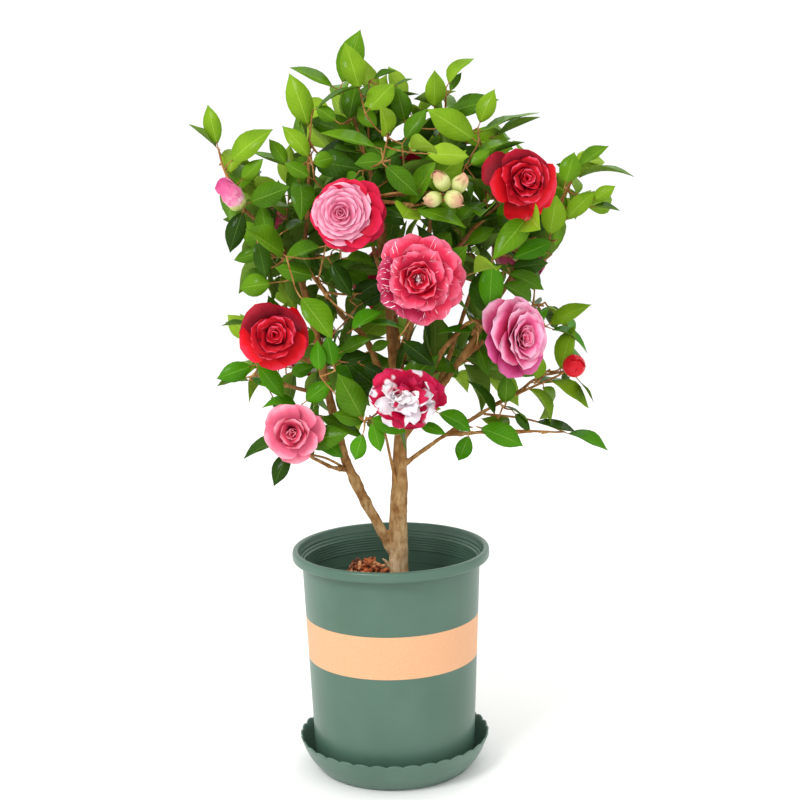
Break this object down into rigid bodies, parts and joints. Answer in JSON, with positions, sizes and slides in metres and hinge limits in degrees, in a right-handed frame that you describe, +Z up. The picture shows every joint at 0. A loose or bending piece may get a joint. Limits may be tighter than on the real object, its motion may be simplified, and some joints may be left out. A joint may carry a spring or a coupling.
{
  "type": "potted camellia shrub in bloom",
  "caption": "Evergreen flowering shrub with one short trunk, spreading boughs, glossy leaves and large double blooms, standing in a round nursery pot on a scalloped saucer.",
  "frame": {"origin": "centre of the saucer's flat underside, on the surface that the pot stands on", "axes": "+Z up along the pot, -Y towards the side seen from the front, +X to the right as seen from the front"},
  "size_m": [0.561, 0.4544, 0.962],
  "materials": {
    "pot_plastic": "moulded, satin, grey green with a plain peach band",
    "saucer_plastic": "moulded, satin, grey green",
    "potting_mix": "rough, dark, peat and fine bark",
    "bark_chips": "rough, red brown chips",
    "bark": "thin tan bark, matt, lightly mottled",
    "foliage": "glossy evergreen leaves with red and pink double blooms"
  },
  "bodies": {
    "root": {"bark_chips": "bark_chips", "bough_back": "bark", "bough_back_low_left": "bark", "bough_back_low_right": "bark", "bough_back_right": "bark", "bough_back_top": "bark", "bough_centre": "bark", "bough_centre_front": "bark", "bough_centre_left": "bark", "bough_inner_left": "bark", "bough_left": "bark", "bough_left_front": "bark", "bough_left_outer": "bark", "bough_left_spray": "bark", "bough_low_left": "bark", "bough_low_right": "bark", "bough_lower_front": "bark", "bough_lowest_right": "bark", "bough_right": "bark", "bough_right_front": "bark", "bough_right_leader": "bark", "bough_right_mid": "bark", "bough_top_left": "bark", "bough_upper_front": "bark", "bough_upper_right": "bark", "foliage_back": "foliage", "foliage_back_left": "foliage", "foliage_back_low_left": "foliage", "foliage_back_low_right": "foliage", "foliage_back_right": "foliage", "foliage_back_top": "foliage", "foliage_centre_front": "foliage", "foliage_centre_left": "foliage", "foliage_left_front": "foliage", "foliage_left_outer": "foliage", "foliage_left_spray": "foliage", "foliage_low_left": "foliage", "foliage_low_right": "foliage", "foliage_lower_front": "foliage", "foliage_lowest_right": "foliage", "foliage_right_front": "foliage", "foliage_right_mid": "foliage", "foliage_right_spray": "foliage", "foliage_top_centre": "foliage", "foliage_top_left": "foliage", "foliage_top_right": "foliage", "foliage_upper_front": "foliage", "foliage_upper_left": "foliage", "foliage_upper_right": "foliage", "pot": "pot_plastic", "potting_soil": "potting_mix", "saucer": "saucer_plastic", "trunk": "bark"}
  },
  "joints": []
}
